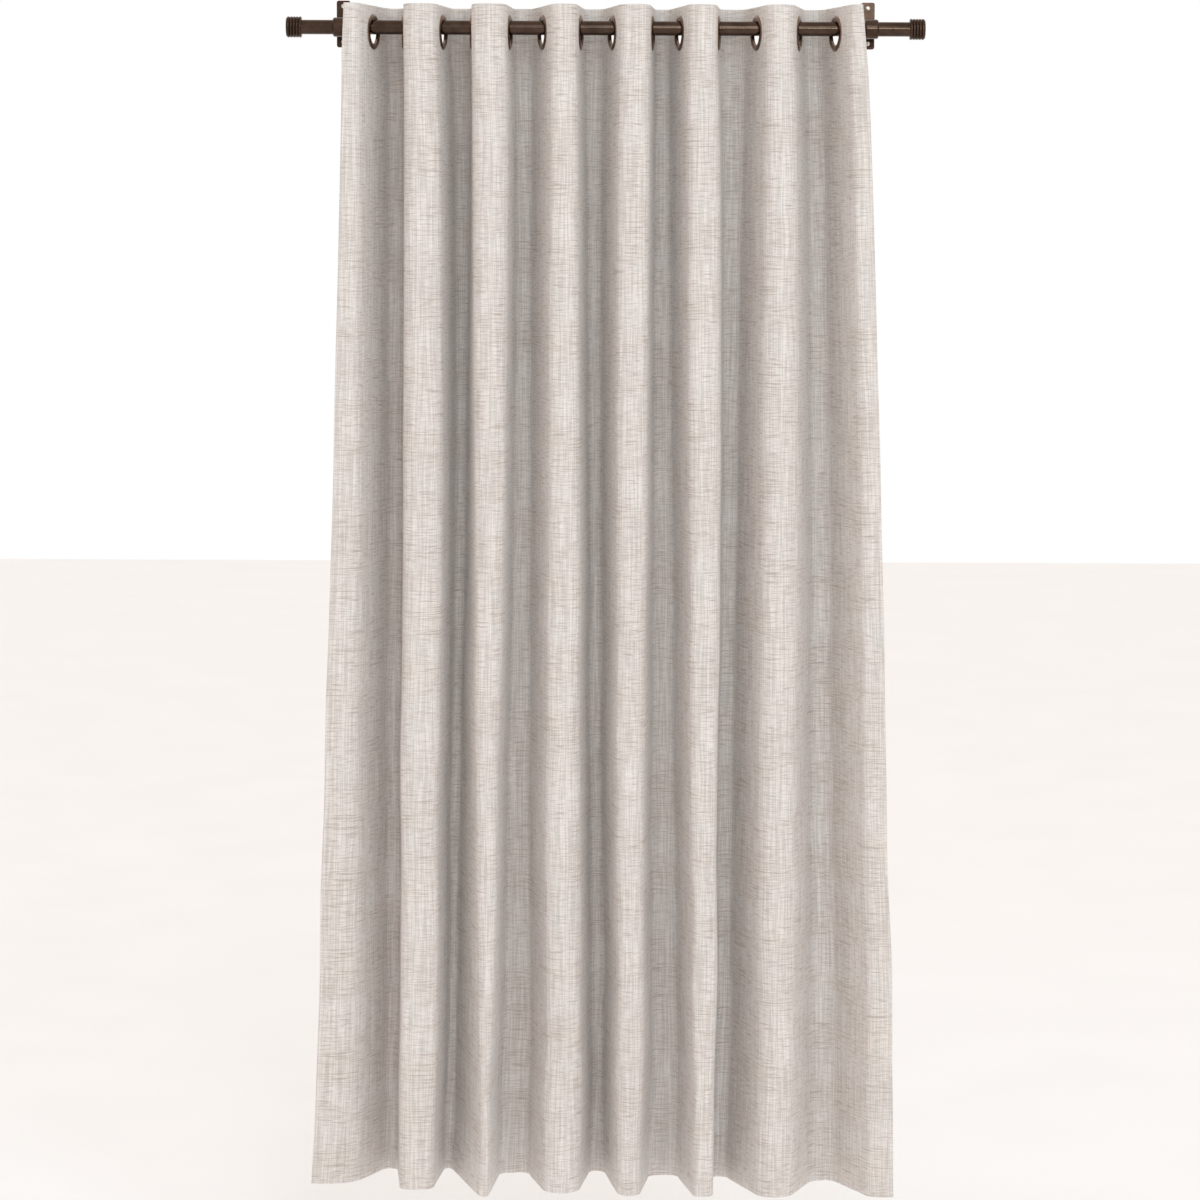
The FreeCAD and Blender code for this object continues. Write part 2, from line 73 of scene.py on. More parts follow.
HEADER_DEPTH = 0.090  # the stiffened top, which hangs straight
RING_FALL = TOP_Z - RING_Z
RING_PITCH = 0.1792  # eyelet to eyelet on the flat cloth
EDGE_FLAT = 0.105  # outermost eyelet to the side edge on the flat cloth
EDGE_REACH_TOP = 0.0495  # the same along the rod, at the top
EDGE_REACH_HEM_LEFT = 0.090  # the same along the rod, at the left end of the hem
EDGE_REACH_HEM_RIGHT = 0.070  # the same along the rod, at the right end of the hem
EDGE_CREST_SHARE = 0.66  # how much of that reach lies between the eyelet and the fold's crest
CORNER_PULL_LEFT = 0.004  # how far the top left corner draws back
CORNER_PULL_RIGHT = 0.009  # how far the top right corner draws back
SOFTENING = 0.0042  # step of the averaging along the cloth

# For each eyelet: the lean in degrees of the cloth through it, its lean at the hem, how far the
# cloth below it has moved along the rod at the hem, and how far more about a third of the way down.
LEANS_TOP = np.radians([16, 3, 10, 2, 5, 15, 6, 13, 5, 13, 5, 15, 11, 16])
LEANS_HEM = np.radians([25, 5, 6, 20, 7, 15, 9, 10, 8, 11, 1, 22, 20, 25])
HEM_SHIFTS = np.array([-24, -14, -9, -9, -25, -5, 15, 7, -1, 24, 6, -3, 24, 55]) / 1000
MIDDLE_SHIFTS = np.array([3, 2, 10, 2, 9, 0, 2, -4, 0, -2, 8, 0, 6, 0]) / 1000

# How soon the cloth below an eyelet starts to move sideways: a lower power is sooner.
FAN_POWER = 1.05  # at the left end
FAN_POWER_LOSS = 0.30  # from the left end to the right

# For each fold crest from the left edge to the right: how square (above 0) or pointed (below 0)
# it is at the hem, and how much higher the hem hangs there.
CREST_SHAPES = np.array([0, 0, 0.8, 0, -0.3, 0.6, -0.1, -0.3, -0.15, 0.6, 0.5, 0.3, 0, 0, 0])
HEM_RISES = np.array([8, 4, 7, 4, -2, 0, 1, 2, 0, -3, 0, -6, -3, -9, -3]) / 1000
SQUARING = 0.55  # how much the power of a crest's curve falls for a shape of 1
POINTING = 0.9  # and how much it rises for a shape of -1

PUCKER_DEPTH = 0.0009  # of the small upright puckers under the eyelets
PUCKER_FALL = 0.105  # where they are deepest
PUCKER_REACH = 0.045  # how far above and below that they fade
PUCKER_LENGTH = 0.034  # from one to the next
FORWARD_SWING = 0.014  # how far the right side swings to the room at the hem
WANDER_REACH = 0.0030  # how far each fold wanders from its line near the hem
WANDER_LENGTH_ALONG = 0.83  # from one bend to the next, of the wander along the rod
WANDER_LENGTH_OFF = 0.71  # and of the wander off it
WANDER_STEP = 0.83  # how far each eyelet's wander is set off from the one before
DENT_DEPTH = 0.0012  # of the broad dents in the cloth

RING_COUNT = len(LEANS_TOP)
PANEL_WIDTH = (RING_COUNT - 1) * RING_PITCH + 2 * EDGE_FLAT
RING_ALONGS = EDGE_FLAT + RING_PITCH * np.arange(RING_COUNT)


def ring_places():
    """Each eyelet's place along the rod. It moves in proportion to its distance from the anchor,
    so the draw's travel and the couplings give that distance."""
    behaviour = frame["record"]["behaviour"]
    travel = next(joint["range_m"][1] for joint in behaviour["joints"] if joint["name"] == "draw")
    ratios = {coupling["joint"]: coupling["ratio"] for coupling in behaviour["couplings"]}
    shares = [ratios[name] for name in sorted(ratios)] + [1]
    return ANCHOR_X + np.array(shares) * travel / (1 - KEEP)


RING_XS = ring_places()


# ---------- The cloth's shape ----------

def fall_share(fall):
    """0 in the header, and growing evenly from there to 1 at the hem."""
    return np.clip((fall - HEADER_DEPTH) / (DROP - HEADER_DEPTH), 0, 1)


def leg_x(ring, fall):
    """Where the cloth crosses the rod's plane below an eyelet. The right side fans out sooner."""
    share = fall_share(fall)
    power = FAN_POWER - FAN_POWER_LOSS * ring / (RING_COUNT - 1)
    bow = MIDDLE_SHIFTS[ring] * np.sin(math.pi * share ** 0.6)
    return RING_XS[ring] + HEM_SHIFTS[ring] * share ** power + bow


def lean(ring, fall):
    """The angle between the cloth through an eyelet and the way straight off the rod."""
    return LEANS_TOP[ring] + (LEANS_HEM[ring] - LEANS_TOP[ring]) * fall_share(fall)


def half_fold_terms(angle):
    """What half a fold adds for each unit of its crest's radius and of its depth: to the span by
    radius and by depth, and to the flat length by radius and by depth."""
    span_by_radius = (1 - np.sin(angle)) / np.cos(angle)
    return np.stack([
        span_by_radius,
        np.tan(angle),
        math.pi / 2 - angle - span_by_radius,
        1 / np.cos(angle),
    ])


def half_fold(distance, angle, depth, radius, shape):
    """A place on half a fold, distance from its eyelet: a straight leg, an arc to the crest, and a
    flat flap past it. Gives how far along the rod and off it, and the cloth's direction."""
    sine, cosine = np.sin(angle), np.cos(angle)
    leg = (depth - radius * (1 - sine)) / cosine
    turn = np.clip(angle + (distance - leg) / radius, angle, math.pi / 2)
    on_leg = np.minimum(distance, leg)
    half_length = leg + radius * (math.pi / 2 - angle)
    beyond = np.maximum(distance - half_length, 0)
    across = on_leg * sine + radius * (cosine - np.cos(turn)) + beyond
    off = on_leg * cosine + radius * (np.sin(turn) - sine)
    # A squarer or more pointed crest keeps the leg's end and the crest's middle in place.
    quarter = (turn - angle) / (math.pi / 2 - angle) * math.pi / 2
    power = np.where(shape > 0, 1 - SQUARING * shape, 1 - POINTING * shape)
    crest_across = leg * sine + radius * cosine * (1 - np.cos(quarter) ** power) + beyond
    crest_off = leg * cosine + radius * (1 - sine) * np.sin(quarter) ** power
    reshaped = (distance > leg) & (np.abs(shape) > 0)
    across = np.where(reshaped, crest_across, across)
    off = np.where(reshaped, crest_off, off)
    return across, off, np.sin(turn), np.cos(turn)


def folded(along, fall):
    """The cloth's middle surface: points, and the way its right side faces.

    A crest's two halves together span the gap between its eyelets and are as long as the cloth
    was cut, which gives two linear equations for the crest's depth and radius."""
    share = fall_share(fall)
    crest = np.clip(np.floor((along - EDGE_FLAT) / RING_PITCH).astype(int) + 1, 0, RING_COUNT)
    left_ring = np.clip(crest - 1, 0, RING_COUNT - 1)
    right_ring = np.clip(crest, 0, RING_COUNT - 1)
    left_terms = half_fold_terms(lean(left_ring, fall))
    right_terms = half_fold_terms(lean(right_ring, fall))
    terms = np.where(crest == 0, right_terms, left_terms + right_terms)
    terms = np.where(crest == RING_COUNT, left_terms, terms)
    span_by_radius, span_by_depth, length_by_radius, length_by_depth = terms

    at_edge = (crest == 0) | (crest == RING_COUNT)
    reach_hem = np.where(crest == 0, EDGE_REACH_HEM_LEFT, EDGE_REACH_HEM_RIGHT)
    edge_reach = EDGE_REACH_TOP + (reach_hem - EDGE_REACH_TOP) * share
    corner_pull = np.where(crest == 0, CORNER_PULL_LEFT, CORNER_PULL_RIGHT)
    edge_reach -= corner_pull * np.clip(1 - fall / HEADER_DEPTH, 0, 1)
    edge_crest = edge_reach * EDGE_CREST_SHARE
    span = np.where(at_edge, edge_crest, leg_x(right_ring, fall) - leg_x(left_ring, fall))
    length = np.where(at_edge, EDGE_FLAT - edge_reach + edge_crest, RING_PITCH)
    both = length_by_depth * span_by_radius - span_by_depth * length_by_radius
    depth = (length * span_by_radius - span * length_by_radius) / both
    radius = (span - span_by_depth * depth) / span_by_radius

    left_half = left_terms[2] * radius + left_terms[3] * depth
    on_left = (along - RING_ALONGS[left_ring] < left_half) | (crest == RING_COUNT)
    on_left &= crest > 0
    ring = np.where(on_left, left_ring, right_ring)
    hand = np.where(on_left, 1, -1)
    distance = hand * (along - RING_ALONGS[ring])
    shape = CREST_SHAPES[crest] * share ** 1.5
    across, off, slope_x, slope_y = half_fold(distance, lean(ring, fall), depth, radius, shape)
    facing = np.where(ring % 2 == 0, 1, -1)
    x = leg_x(ring, fall) + hand * across
    y = ROD_Y + hand * facing * off
    normals = np.stack([facing * slope_y, -slope_x, np.zeros_like(x)], axis=-1)
    return np.stack([x, y, TOP_Z - fall], axis=-1), normals


def softened(along, fall, offset):
    """Points at an offset from the folded cloth, averaged along it, so that bends start gently."""
    from_edge = np.minimum(along, PANEL_WIDTH - along)
    step = np.minimum(SOFTENING, from_edge / 2)
    total = 0
    for count, weight in ((-2, 1), (-1, 4), (0, 6), (1, 4), (2, 1)):
        points, normals = folded(along + count * step, fall)
        total = total + weight * (points + normals * offset[..., None])
    return total / 16


def wander(seed, places, wavelength):
    """A smooth line that wanders between about -1 and 1."""
    generator = np.random.default_rng(seed)
    total = np.zeros_like(places)
    for octave in (1.0, 0.61, 0.37):
        phase = generator.uniform(0, 2 * math.pi)
        total += octave ** 0.7 * np.sin(2 * math.pi * places / (wavelength * octave) + phase)
    return total / 1.9


def between_crests(values, along):
    """Values given at the crests, joined smoothly along the cloth."""
    crests = np.concatenate([[0], (RING_ALONGS[1:] + RING_ALONGS[:-1]) / 2, [PANEL_WIDTH]])
    step = np.clip(np.searchsorted(crests, along) - 1, 0, len(crests) - 2)
    share = np.clip((along - crests[step]) / (crests[step + 1] - crests[step]), 0, 1)
    share = share * share * (3 - 2 * share)
    return values[step] * (1 - share) + values[step + 1] * share


def nearest_ring(along):
    """The number of the eyelet nearest to a place along the flat cloth, from 0."""
    return np.clip(np.round((along - EDGE_FLAT) / RING_PITCH), 0, RING_COUNT - 1).astype(int)


def dents(along, fall):
    """Broad shallow dents, as heavy cloth has between its folds."""
    amounts = [
        noise.noise(Vector((a * 9, f * 3.5, 3.1))) + 0.5 * noise.noise(Vector((a * 24, f * 9, 7.7)))
        for a, f in zip(along.flat, fall.flat)
    ]
    return np.array(amounts).reshape(along.shape) * DENT_DEPTH


def draped(along, fall, offset):
    """Points of a layer of cloth, with the unevenness of real folds."""
    points = softened(along, fall, offset)
    share = fall_share(fall)
    loose = share * share * (3 - 2 * share)
    phase = nearest_ring(along) * WANDER_STEP
    points[..., 0] += WANDER_REACH * loose * wander(11, fall + phase, WANDER_LENGTH_ALONG)
    points[..., 1] += WANDER_REACH * loose * wander(12, fall + phase * 1.7, WANDER_LENGTH_OFF)
    puckered = np.exp(-((fall - PUCKER_FALL) / PUCKER_REACH) ** 2)
    points[..., 1] += PUCKER_DEPTH * puckered * wander(13, along, PUCKER_LENGTH)
    points[..., 1] -= FORWARD_SWING * share ** 2 * (along / PANEL_WIDTH) ** 1.5
    points[..., 1] += dents(along, fall) * share
    points[..., 2] += between_crests(HEM_RISES, along) * share ** 3
    return points


# ---------- Meshes ----------

def grid_quads(rows, columns):
    """The corner numbers of each quad of a grid of points numbered row by row."""
    corner = np.arange(rows * columns).reshape(rows, columns)
    return np.stack([corner[:-1, :-1], corner[1:, :-1], corner[1:, 1:], corner[:-1, 1:]], axis=-1)


def grid_object(name, points, flat, quads, thickness, material):
    """A sheet of quads with its flat places as UVs in metres, given its thickness."""
    rows, columns = points.shape[:2]
    used = np.unique(quads)
    renumber = np.zeros(rows * columns, dtype=int)
    renumber[used] = np.arange(len(used))
    mesh = bpy.data.meshes.new(name)
    mesh.from_pydata(points.reshape(-1, 3)[used].tolist(), [], renumber[quads].tolist())
    uv_layer = mesh.uv_layers.new(name="cloth")
    places = flat.reshape(-1, 2)[quads.reshape(-1)]
    uv_layer.data.foreach_set("uv", places.astype(np.float32).ravel())
    mesh.shade_smooth()
    sheet = bpy.data.objects.new(name, mesh)
    bpy.context.collection.objects.link(sheet)
    mesh.materials.append(material)
    solid = sheet.modifiers.new("thickness", "SOLIDIFY")
    solid.thickness = thickness
    solid.offset = 0
    return sheet


def hang(piece, *replaced):
    """The cloth hangs from the rod, with a mesh of its own, and hides the CAD pieces it replaces.
    """
    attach(piece, "rod_and_brackets")
    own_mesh(piece)
    if replaced:
        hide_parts(*replaced)
    return piece


COLUMN_STEP = 0.0042  # between points across the face cloth
ROW_STEP = 0.011  # between points down it
HEADER_ROW_STEP = 0.0045  # the same in the header, where the eyelets' holes are
FACE_THICKNESS = 0.0008
TURN_RADIUS = 0.0005  # of the fold at each edge
TURN_BEND = TURN_RADIUS * math.pi / 2  # length of cloth from that fold's middle to its end
TURN_POINTS = 7  # across that fold
TURN_GAP = 0.001  # from that fold to the next points
SIDE_TURN_BACK = -0.0022  # offset of the side turnings, behind the lining
FACING_DEPTH = 0.090  # turned down behind the header
HEM_DEPTH = 0.100  # turned up behind the hem
SIDE_TURNING = 0.028
HOLE_RADIUS = 0.0245


def turned(cut, length, front, back):
    """Folds a line of cloth over both ends of length. Gives the place along it and the offset."""
    middle = (front + back) / 2
    reach = (front - back) / 2
    from_end = np.where(cut < length / 2, cut, length - cut)
    angle = np.clip(from_end / TURN_RADIUS, -math.pi / 2, math.pi / 2)
    in_bend = np.abs(from_end) < TURN_BEND
    past_bend = np.abs(from_end) - TURN_BEND + TURN_RADIUS
    rounded = np.where(in_bend, TURN_RADIUS * (1 - np.cos(angle)), past_bend)
    place = np.where(cut < length / 2, rounded, length - rounded)
    return place, middle + reach * np.sin(angle)


def cut_lines(length, step, before, after, fine=0.0, fine_step=None):
    """Places for the mesh's lines over a length and its turnings: close together in the folds over
    its ends, and fine_step apart in the first turning and in the fine stretch after it."""
    fold = np.linspace(-TURN_BEND, TURN_BEND, TURN_POINTS)
    near = TURN_BEND + TURN_GAP
    parts = [fold, length + fold]
    parts.append(-np.linspace(near, before, round(before / (fine_step or step))))
    start = near
    if fine:
        parts.append(np.linspace(near, fine, round(fine / fine_step)))
        start = fine + step
    parts.append(np.linspace(start, length - near, round((length - start) / step)))
    parts.append(length + np.linspace(near, after, round(after / step)))
    return np.sort(np.concatenate(parts))


def ring_distance(along, fall):
    """How far a flat place is from the nearest eyelet's middle."""
    return np.hypot(along - RING_ALONGS[nearest_ring(along)], fall - RING_FALL)


def make_face(material):
    """The face cloth, one piece: turned down behind the header, up at the hem, in at the sides."""
    side_cuts = cut_lines(PANEL_WIDTH, COLUMN_STEP, SIDE_TURNING, SIDE_TURNING)
    drop_cuts = cut_lines(DROP, ROW_STEP, FACING_DEPTH, HEM_DEPTH, HEADER_DEPTH, HEADER_ROW_STEP)
    cut_along, cut_fall = np.meshgrid(side_cuts, drop_cuts)
    along, side_offset = turned(cut_along, PANEL_WIDTH, 0.0, SIDE_TURN_BACK - TURN_RADIUS)
    fall, offset = turned(cut_fall, DROP, TURN_RADIUS, -TURN_RADIUS)
    points = draped(along, fall, offset + side_offset)
    middle_along = (side_cuts[:-1] + side_cuts[1:])[None, :] / 2
    middle_fall = (drop_cuts[:-1] + drop_cuts[1:])[:, None] / 2
    # At the corners, where two turnings would cross, the cloth is cut away.
    inside_drop = (middle_fall > 0) & (middle_fall < DROP)
    inside_width = (middle_along > 0) & (middle_along < PANEL_WIDTH)
    keep = inside_drop | inside_width
    keep &= ring_distance(middle_along, np.abs(middle_fall)) > HOLE_RADIUS
    quads = grid_quads(len(drop_cuts), len(side_cuts))[keep]
    flat = np.stack([cut_along, cut_fall], axis=-1)
    return grid_object("curtain_face_cloth", points, flat, quads, FACE_THICKNESS, material)


LINING_INSET = 0.012  # the lining's edge lies under the side turnings
LINING_LIFT = 0.030  # the lining ends this far above the hem
LINING_TUCK = 0.010  # the lining's top lies this far up under the facing
LINING_OFFSET = -0.00135
LINING_EASE = 0.004  # it falls back to that offset over this length below the facing
LINING_THICKNESS = 0.0003
LINING_COLUMNS = 600
LINING_FIRST_ROWS = (-LINING_TUCK, 0, 0.002, 0.004, 0.006)  # measured from the facing's foot
LINING_EVEN_START = 0.015  # the other rows start here, on the same measure, and are even
LINING_ROWS = 126  # of those


def make_lining(material):
    """The lining, one piece, from under the facing to just above the hem."""
    columns = np.linspace(LINING_INSET, PANEL_WIDTH - LINING_INSET, LINING_COLUMNS)
    rows = np.concatenate([
        FACING_DEPTH + np.array(LINING_FIRST_ROWS),
        np.linspace(FACING_DEPTH + LINING_EVEN_START, DROP - LINING_LIFT, LINING_ROWS),
    ])
    along, fall = np.meshgrid(columns, rows)
    offset = LINING_OFFSET * np.clip((fall - FACING_DEPTH) / LINING_EASE, 0, 1)
    points = draped(along, fall, offset)
    quads = grid_quads(len(rows), len(columns)).reshape(-1, 4)
    flat = np.stack([along, fall], axis=-1)
    return grid_object("curtain_lining", points, flat, quads, LINING_THICKNESS, material)


STITCH_LENGTH = 0.0030
STITCH_PITCH = 0.0052
STITCH_WIDTH = 0.0006
STITCH_RISE = 0.0004
STITCH_ROWS, STITCH_COLUMNS = 5, 3  # points along and across a stitch
CROSS_STITCH_INSET = 0.030  # the lines across the panel end this far from the side edges
FACING_STITCH_INSET = 0.004  # the facing's line from the facing's foot
SIDE_STITCH_INSET = 0.007  # the side stitches from the side edge
SIDE_STITCH_START = 0.004  # and from the top edge and the hem
LINING_HEM = 0.030  # turned up inside the lining's lower edge


def stitch_line(first, last):
    """The middles of a straight line's stitches on the flat cloth, and the line's direction."""
    first, last = np.array(first), np.array(last)
    length = np.linalg.norm(last - first)
    way = (last - first) / length
    steps = np.arange(STITCH_PITCH / 2, length, STITCH_PITCH)
    return first + steps[:, None] * way, way


def make_stitches(name, lines, material):
    """Small raised stitches along lines on the flat cloth. A line is (first, last, offset), and its
    stitches arch away from the cloth's middle."""
    generator = np.random.default_rng(5)
    vertices = []
    along_stitch = np.linspace(-1, 1, STITCH_ROWS)[:, None]
    over_stitch = np.linspace(-1, 1, STITCH_COLUMNS)[None, :]
    for first, last, surface in lines:
        middles, way = stitch_line(first, last)
        lengths = STITCH_LENGTH * generator.uniform(0.85, 1.1, len(middles))
        sideways = np.array([-way[1], way[0]])
        reach = along_stitch * lengths[:, None, None] / 2
        width = over_stitch * STITCH_WIDTH / 2 * np.sqrt(1.05 - along_stitch ** 2)
        places = middles[:, None, None, :] + reach[..., None] * way + width[..., None] * sideways
        arch = np.sqrt(np.maximum(1 - along_stitch ** 2, 0)) * (1 - np.abs(over_stitch))
        offset = surface + math.copysign(STITCH_RISE, surface) * arch
        offset = np.broadcast_to(offset, places.shape[:-1])
        flat = places.reshape(len(middles), -1, 2)
        points = draped(flat[..., 0], flat[..., 1], offset.reshape(len(middles), -1))
        vertices.append(points.reshape(-1, 3))
    vertices = np.concatenate(vertices)
    starts = np.arange(0, len(vertices), STITCH_ROWS * STITCH_COLUMNS)
    faces = starts[:, None, None] + grid_quads(STITCH_ROWS, STITCH_COLUMNS).reshape(1, -1, 4)
    mesh = bpy.data.meshes.new(name)
    mesh.from_pydata(vertices.tolist(), [], faces.reshape(-1, 4).tolist())
    mesh.shade_smooth()
    mesh.materials.append(material)
    stitches = bpy.data.objects.new(name, mesh)
    bpy.context.collection.objects.link(stitches)
    return stitches


def make_all_stitches(material):
    """The facing's foot and the lining's hem show at the back, the side lines on both faces."""
    left, right = CROSS_STITCH_INSET, PANEL_WIDTH - CROSS_STITCH_INSET
    facing_foot = FACING_DEPTH - FACING_STITCH_INSET
    behind_facing = -TURN_RADIUS - FACE_THICKNESS / 2
    facing = make_stitches("facing_stitches", [
        ((left, facing_foot), (right, facing_foot), behind_facing),
    ], material)
    lining_seam = DROP - LINING_LIFT - LINING_HEM
    behind_lining = LINING_OFFSET - LINING_THICKNESS / 2
    lining_hem = make_stitches("lining_hem_stitches", [
        ((left, lining_seam), (right, lining_seam), behind_lining),
    ], material)
    before_face = TURN_RADIUS + FACE_THICKNESS / 2
    behind_turning = SIDE_TURN_BACK - FACE_THICKNESS / 2
    behind_corner = behind_turning - 2 * TURN_RADIUS
    top, hem_top, foot = SIDE_STITCH_START, DROP - HEM_DEPTH, DROP - SIDE_STITCH_START
    side_lines = []
    for place in (SIDE_STITCH_INSET, PANEL_WIDTH - SIDE_STITCH_INSET):
        side_lines.append(((place, top), (place, foot), before_face))
        side_lines.append(((place, top), (place, FACING_DEPTH), behind_corner))
        side_lines.append(((place, FACING_DEPTH), (place, hem_top), behind_turning))
        side_lines.append(((place, hem_top), (place, foot), behind_corner))
    return facing, lining_hem, make_stitches("side_stitches", side_lines, material)


# ---------- Materials ----------

class Material:
    """A node material, built with short calls."""

    def __init__(self, name):
        self.material = bpy.data.materials.new(name)
        self.material.use_nodes = True
        self.tree = self.material.node_tree
        self.tree.nodes.clear()
        self.output = self.tree.nodes.new("ShaderNodeOutputMaterial")

    def add(self, kind, inputs=None, **settings):
        """A node whose inputs are numbers, colours or another node's socket."""
        node = self.tree.nodes.new("ShaderNode" + kind)
        for name, setting in settings.items():
            setattr(node, name, setting)
        for name, given in (inputs or {}).items():
            if isinstance(given, bpy.types.NodeSocket):
                self.tree.links.new(given, node.inputs[name])
            else:
                node.inputs[name].default_value = given
        return node

    def math(self, operation, first, second=0.0):
        return self.add("Math", {0: first, 1: second}, operation=operation).outputs[0]

    def noise(self, vector, scale, detail=2.0, roughness=0.5, dimensions="3D"):
        """Noise from 0 to 1, stretched by a scale for each axis."""
        stretched = self.add("Mapping", {"Vector": vector, "Scale": scale}).outputs[0]
        texture = self.add("TexNoise", {"Vector": stretched, "Scale": 1.0, "Detail": detail,
                                        "Roughness": roughness}, noise_dimensions=dimensions)
        return texture.outputs["Fac"]

    def band(self, value, low, high, out_low=0.0, out_high=1.0):
        """How far a value is from low to high, eased at both ends: a share from 0 to 1, or between
        other limits. Low may be the larger."""
        limits = {"Value": value, "From Min": low, "From Max": high, "To Min": out_low,
                  "To Max": out_high}
        return self.add("MapRange", limits, interpolation_type="SMOOTHSTEP").outputs[0]

    def mix(self, factor, first, second, blend="MIX"):
        node = self.add("Mix", {0: factor}, data_type="RGBA", blend_type=blend)
        for index, given in ((6, first), (7, second)):
            if isinstance(given, bpy.types.NodeSocket):
                self.tree.links.new(given, node.inputs[index])
            else:
                node.inputs[index].default_value = given
        return node.outputs[2]

    def shade(self, base, tone):
        """A colour multiplied by a tone, where 1 leaves it as it is."""
        grey = self.add("CombineColor", {0: tone, 1: tone, 2: tone}).outputs[0]
        return self.mix(1.0, base, grey, "MULTIPLY")

    def bump(self, height, strength, distance):
        inputs = {"Height": height, "Strength": strength, "Distance": distance}
        return self.add("Bump", inputs).outputs[0]

    def surface(self, inputs):
        shader = self.add("BsdfPrincipled", inputs)
        self.tree.links.new(shader.outputs[0], self.output.inputs["Surface"])
        return self.material


def colour(red, green, blue):
    return (red, green, blue, 1.0)


THREAD_PITCH = 0.0011
CLOTH_COOL = colour(0.746, 0.704, 0.676)
CLOTH_WARM = colour(0.726, 0.672, 0.634)
SLUB_TAN = colour(0.385, 0.322, 0.280)


def weave_height(m, flat):
    """The over and under of a plain weave, from 0 to 1."""
    parts = m.add("SeparateXYZ", {"Vector": flat})
    waves = []
    for axis in ("X", "Y"):
        turns = m.math("MULTIPLY", parts.outputs[axis], math.pi / THREAD_PITCH)
        waves.append(m.math("SINE", turns))
    product = m.math("MULTIPLY", waves[0], waves[1])
    return m.add("MapRange", {"Value": product, "From Min": -1.0, "From Max": 1.0}).outputs[0]


def linen_material():
    """Linen-look cloth: uneven crisp threads both ways, and thin tan slubs in the weft. A noise's
    scale is how many marks it has to a metre of flat cloth, across and down."""
    m = Material("linen_face_cloth")
    flat = m.add("UVMap", uv_map="cloth").outputs[0]
    # The threads wave a little.
    sway_across = m.noise(flat, (3.0, 9.0, 1.0), 1.0, dimensions="2D")
    sway_down = m.noise(flat, (7.0, 12.0, 1.0), 1.0, dimensions="2D")
    sway = m.add("CombineXYZ", {"X": sway_across, "Y": sway_down})
    sway = m.add("VectorMath", {0: sway.outputs[0], 1: (0.5, 0.5, 0.0)}, operation="SUBTRACT")
    sway = m.add("VectorMath", {0: sway.outputs[0], 1: (0.003, 0.007, 0.0)}, operation="MULTIPLY")
    threads = m.add("VectorMath", {0: flat, 1: sway.outputs[0]}, operation="ADD").outputs[0]

    patches = m.noise(flat, (7.0, 16.0, 1.0), 2.0, dimensions="2D")
    slub = m.noise(threads, (30.0, 560.0, 1.0), 2.0, 0.5, dimensions="2D")
    long_slub = m.noise(threads, (11.0, 460.0, 1.0), 2.0, 0.5, dimensions="2D")
    weft = m.noise(threads, (60.0, 700.0, 1.0), 2.0, 0.6, dimensions="2D")
    warp = m.noise(threads, (400.0, 9.0, 1.0), 2.0, 0.6, dimensions="2D")
    wide_warp = m.noise(threads, (170.0, 4.0, 1.0), 2.0, 0.6, dimensions="2D")

    slub_share = m.band(slub, 0.58, 0.69)
    long_share = m.math("MULTIPLY", m.band(long_slub, 0.58, 0.68), m.band(patches, 0.3, 0.6))
    light_share = m.band(weft, 0.40, 0.25)

    tone = m.band(wide_warp, 0.36, 0.64, 0.96, 1.03)
    tone = m.math("MULTIPLY", tone, m.band(warp, 0.42, 0.60, 0.87, 1.04))
    tone = m.math("MULTIPLY", tone, m.band(weft, 0.40, 0.60, 1.04, 0.91))
    base = m.mix(m.band(patches, 0.25, 0.75), CLOTH_COOL, CLOTH_WARM)
    slubbed = m.mix(m.math("MULTIPLY", slub_share, 0.52), m.shade(base, tone), SLUB_TAN)
    slubbed = m.mix(m.math("MULTIPLY", long_share, 0.55), slubbed, SLUB_TAN)
    slubbed = m.mix(m.math("MULTIPLY", light_share, 0.25), slubbed, colour(0.74, 0.73, 0.72))

    parts = m.add("SeparateXYZ", {"Vector": flat}).outputs
    from_edge = m.math("MINIMUM", parts["X"], m.math("SUBTRACT", PANEL_WIDTH, parts["X"]))
    from_seam = m.math("ABSOLUTE", m.math("SUBTRACT", from_edge, SIDE_STITCH_INSET))
    seam = m.band(from_seam, 0.0, 0.0022, 1.0, 0.0)

    height = m.math("MULTIPLY", weave_height(m, flat), 0.35)
    height = m.math("ADD", height, m.math("MULTIPLY", weft, 0.7))
    height = m.math("ADD", height, m.math("MULTIPLY", warp, 0.6))
    height = m.math("ADD", height, m.math("MULTIPLY", slub_share, 0.5))
    height = m.math("SUBTRACT", height, m.math("MULTIPLY", seam, 1.5))
    return m.surface({
        "Base Color": slubbed,
        "Roughness": m.band(weft, 0.3, 0.7, 0.82, 0.95),
        "Specular IOR Level": 0.2,
        "Sheen Weight": 0.22,
        "Sheen Roughness": 0.5,
        "Normal": m.bump(height, 0.35, 0.0006),
    })


def thread_material():
    """Spun sewing thread in the cloth's colour."""
    m = Material("sewing_thread")
    place = m.add("TexCoord").outputs["Object"]
    twist = m.noise(place, (2600.0, 2600.0, 2600.0), 2.0, 0.6)
    base = m.mix(m.band(twist, 0.3, 0.7), colour(0.50, 0.46, 0.42), colour(0.68, 0.65, 0.61))
    return m.surface({
        "Base Color": base,
        "Roughness": 0.7,
        "Normal": m.bump(twist, 0.3, 0.0002),
    })


